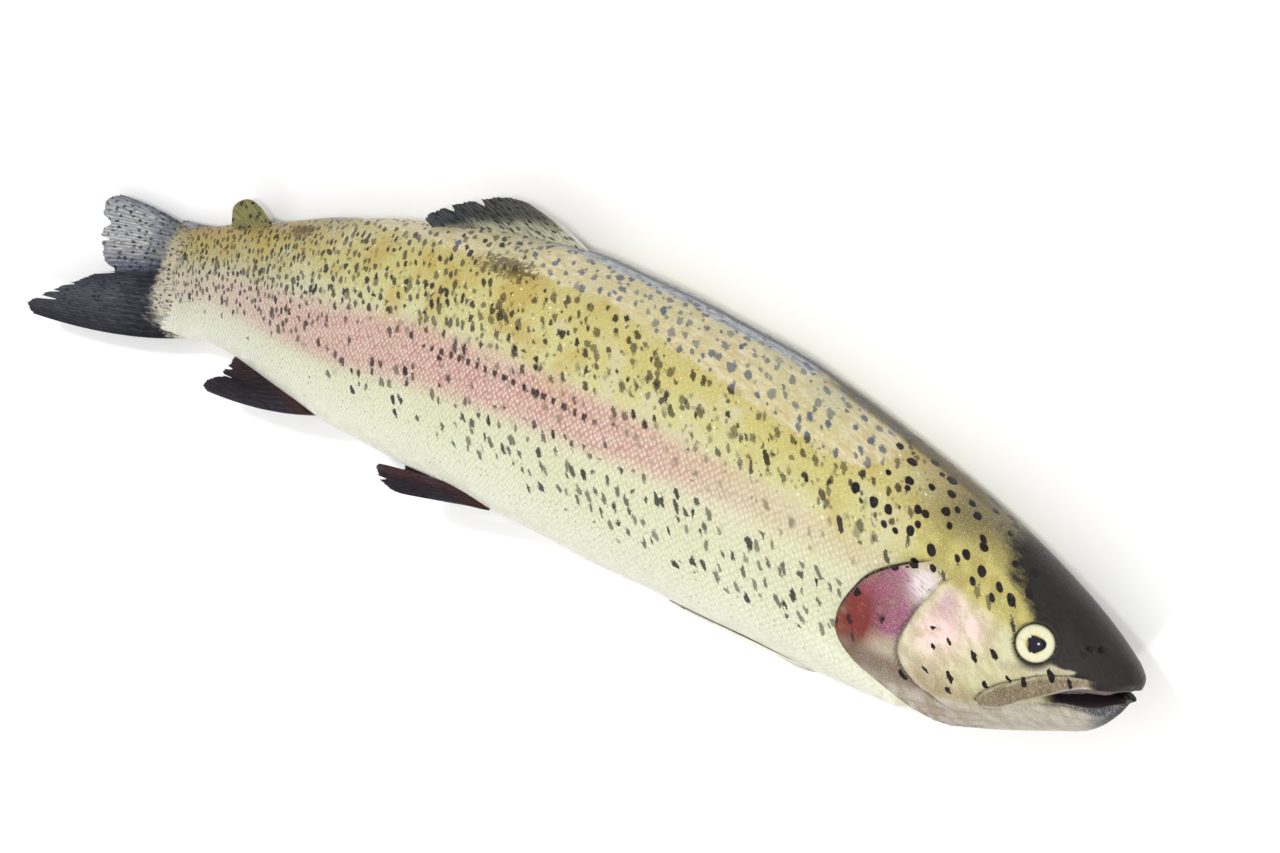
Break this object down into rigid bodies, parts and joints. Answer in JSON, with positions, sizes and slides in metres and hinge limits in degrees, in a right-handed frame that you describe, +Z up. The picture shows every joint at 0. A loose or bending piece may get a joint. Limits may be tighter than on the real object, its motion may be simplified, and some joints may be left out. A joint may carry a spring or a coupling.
{
  "type": "whole raw fish",
  "caption": "Whole raw rainbow trout lying on its left flank, with scaled skin, gill covers, open mouth, eyes and folded fins.",
  "frame": {"origin": "middle of the fish's footprint, on the surface it lies on", "axes": "+X towards the snout, +Y towards the back, +Z up, out of the right flank"},
  "size_m": [0.4334, 0.1056, 0.0495],
  "materials": {
    "skin": "gloss",
    "fin": "gloss",
    "dark_fin": "gloss",
    "eye": "polished"
  },
  "bodies": {
    "root": {"body": "skin", "dorsal_fin": "fin", "adipose_fin": "fin", "caudal_fin": "fin", "anal_fin": "dark_fin", "pelvic_fin_right": "dark_fin", "pelvic_fin_left": "dark_fin", "pectoral_fin_right": "fin", "pectoral_fin_left": "fin", "eye_right": "eye", "eye_left": "eye"}
  },
  "joints": []
}
